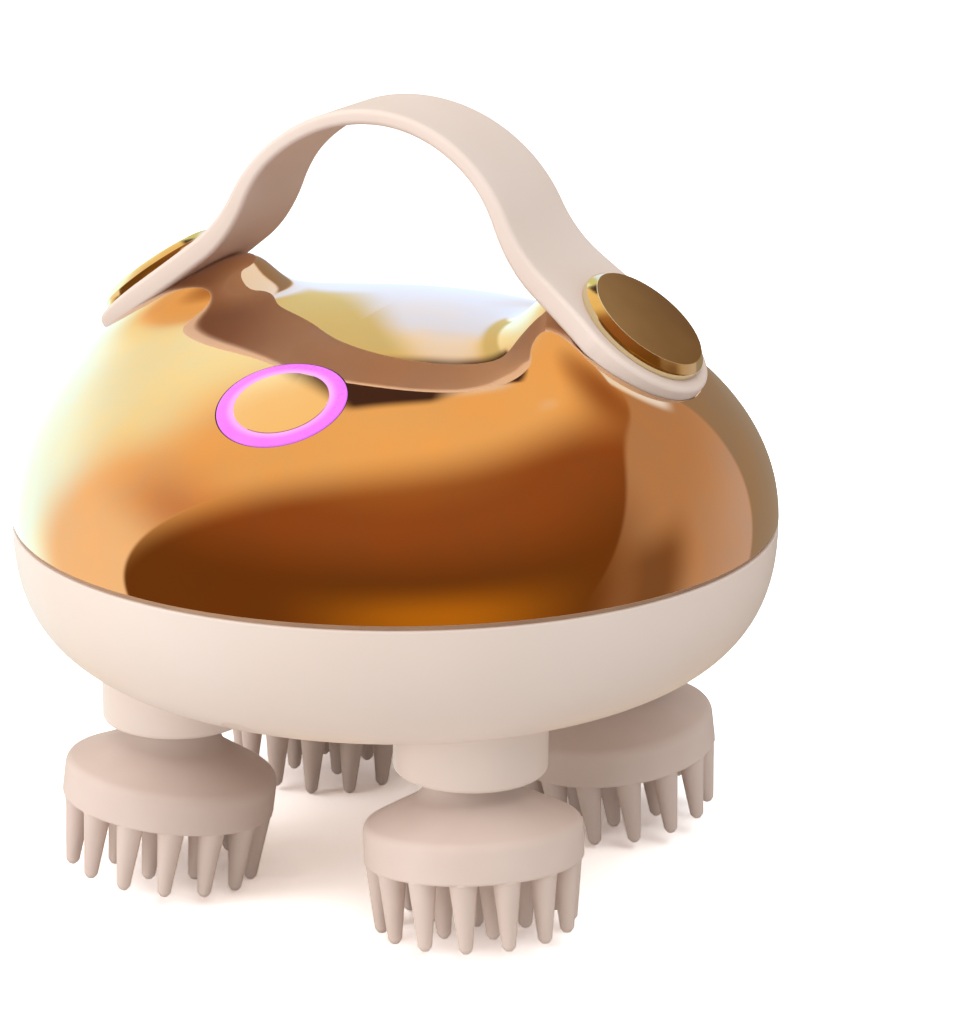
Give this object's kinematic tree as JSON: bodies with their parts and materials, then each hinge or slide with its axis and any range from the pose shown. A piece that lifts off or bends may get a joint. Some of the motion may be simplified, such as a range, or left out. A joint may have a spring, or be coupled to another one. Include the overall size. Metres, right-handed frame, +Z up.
{
  "type": "scalp massager",
  "caption": "Hand-held electric scalp massager: mirror-plated saddle-shaped top with a finger strap and a lit button, over a round base with kneading toothed heads.",
  "frame": {"origin": "centre of the footprint, on the level of the lowest tooth tips that it stands on", "axes": "+Z up, +X along the strap from one cap to the other, -Y towards the button"},
  "size_m": [0.11, 0.11, 0.1114],
  "materials": {
    "plated_shell": "vacuum-plated ABS under an amber lacquer, mirror bright",
    "lower_shell": "satin moulded ABS",
    "screw_cover": "satin moulded plug",
    "strap_silicone": "satin silicone band",
    "head_silicone": "satin moulded silicone",
    "gold_cap": "anodised, fine turned face and bright chamfer",
    "plated_button": "vacuum-plated ABS, mirror bright",
    "light_ring": "translucent diffuser, lit violet",
    "seal_rubber": "moulded rubber",
    "port_rubber": "moulded rubber cover",
    "circuit_board": "glass-fibre board, solder mask",
    "led_body": "moulded lens",
    "switch_body": "moulded switch",
    "socket_steel": "nickel-plated steel",
    "screw_steel": "zinc-plated steel",
    "shaft_steel": "ground steel",
    "gear_acetal": "moulded acetal",
    "pinion_brass": "cut brass",
    "bearing_bronze": "sintered bronze",
    "inner_plastic": "glass-filled nylon",
    "motor_can": "nickel-plated can",
    "cell_wrap": "shrink film",
    "foam_pad": "closed-cell foam",
    "core_plastic": "moulded nylon"
  },
  "bodies": {
    "housing": {"upper_shell": "plated_shell", "lower_shell": "lower_shell", "seam_gasket": "seal_rubber", "shell_screws": "screw_steel", "screw_plugs": "screw_cover", "strap": "strap_silicone", "cap_right": "gold_cap", "cap_left": "gold_cap", "cap_screws": "screw_steel", "light_ring": "light_ring", "button_seal": "seal_rubber", "button_board": "circuit_board", "ring_leds": "led_body", "tact_switch": "switch_body", "usb_socket": "socket_steel", "usb_board": "circuit_board", "drive_axle": "shaft_steel", "gear_plate": "inner_plastic", "plate_screws": "screw_steel", "gear_motor": "motor_can", "motor_screws": "screw_steel", "battery": "cell_wrap", "battery_pad": "foam_pad", "control_board": "circuit_board", "board_screws": "screw_steel", "bush_front_right": "bearing_bronze", "shaft_seal_front_right": "seal_rubber", "bush_back_right": "bearing_bronze", "shaft_seal_back_right": "seal_rubber", "bush_back_left": "bearing_bronze", "shaft_seal_back_left": "seal_rubber", "bush_front_left": "bearing_bronze", "shaft_seal_front_left": "seal_rubber"},
    "button": {"button_cap": "plated_button"},
    "port_cover": {"port_cover": "port_rubber"},
    "drive": {"drive_gear": "gear_acetal"},
    "pinion": {"motor_pinion": "pinion_brass", "motor_shaft": "shaft_steel"},
    "head_drive_front_right": {"head_gear_front_right": "gear_acetal", "output_shaft_front_right": "shaft_steel"},
    "head_front_right": {"massage_head_front_right": "head_silicone", "head_core_front_right": "core_plastic"},
    "head_drive_back_right": {"head_gear_back_right": "gear_acetal", "output_shaft_back_right": "shaft_steel"},
    "head_back_right": {"massage_head_back_right": "head_silicone", "head_core_back_right": "core_plastic"},
    "head_drive_back_left": {"head_gear_back_left": "gear_acetal", "output_shaft_back_left": "shaft_steel"},
    "head_back_left": {"massage_head_back_left": "head_silicone", "head_core_back_left": "core_plastic"},
    "head_drive_front_left": {"head_gear_front_left": "gear_acetal", "output_shaft_front_left": "shaft_steel"},
    "head_front_left": {"massage_head_front_left": "head_silicone", "head_core_front_left": "core_plastic"}
  },
  "joints": [
    {"name": "button_press", "type": "slide", "parent": "housing", "child": "button", "axis": [0, 0.4035, -0.915], "range_m": [0, 0.0005], "stiffness_N_per_m": 3000},
    {"name": "port_cover_pull", "type": "slide", "parent": "housing", "child": "port_cover", "axis": [0, 0.5083, 0.8612], "range_m": [0, 0.005]},
    {"name": "drive_turn", "type": "hinge", "parent": "housing", "child": "drive", "pos_m": [0, 0, 0.0422], "axis": [0, 0, 1], "continuous": true},
    {"name": "pinion_turn", "type": "hinge", "parent": "housing", "child": "pinion", "pos_m": [-0.0264, 0, 0.0422], "axis": [0, 0, 1], "continuous": true},
    {"name": "head_turn_front_right", "type": "hinge", "parent": "housing", "child": "head_drive_front_right", "pos_m": [0.02334, -0.02334, 0.0422], "axis": [0, 0, 1], "continuous": true},
    {"name": "head_pull_front_right", "type": "slide", "parent": "head_drive_front_right", "child": "head_front_right", "axis": [0.0935, -0.0935, -0.9912], "range_m": [0, 0.01]},
    {"name": "head_turn_back_right", "type": "hinge", "parent": "housing", "child": "head_drive_back_right", "pos_m": [0.02334, 0.02334, 0.0422], "axis": [0, 0, 1], "continuous": true},
    {"name": "head_pull_back_right", "type": "slide", "parent": "head_drive_back_right", "child": "head_back_right", "axis": [0.0935, 0.0935, -0.9912], "range_m": [0, 0.01]},
    {"name": "head_turn_back_left", "type": "hinge", "parent": "housing", "child": "head_drive_back_left", "pos_m": [-0.02334, 0.02334, 0.0422], "axis": [0, 0, 1], "continuous": true},
    {"name": "head_pull_back_left", "type": "slide", "parent": "head_drive_back_left", "child": "head_back_left", "axis": [-0.0935, 0.0935, -0.9912], "range_m": [0, 0.01]},
    {"name": "head_turn_front_left", "type": "hinge", "parent": "housing", "child": "head_drive_front_left", "pos_m": [-0.02334, -0.02334, 0.0422], "axis": [0, 0, 1], "continuous": true},
    {"name": "head_pull_front_left", "type": "slide", "parent": "head_drive_front_left", "child": "head_front_left", "axis": [-0.0935, -0.0935, -0.9912], "range_m": [0, 0.01]}
  ],
  "couplings": [
    {"joint": "pinion_turn", "follows": "drive_turn", "ratio": -3},
    {"joint": "head_turn_front_right", "follows": "drive_turn", "ratio": -1.5},
    {"joint": "head_turn_back_right", "follows": "drive_turn", "ratio": -1.5},
    {"joint": "head_turn_back_left", "follows": "drive_turn", "ratio": -1.5},
    {"joint": "head_turn_front_left", "follows": "drive_turn", "ratio": -1.5}
  ]
}
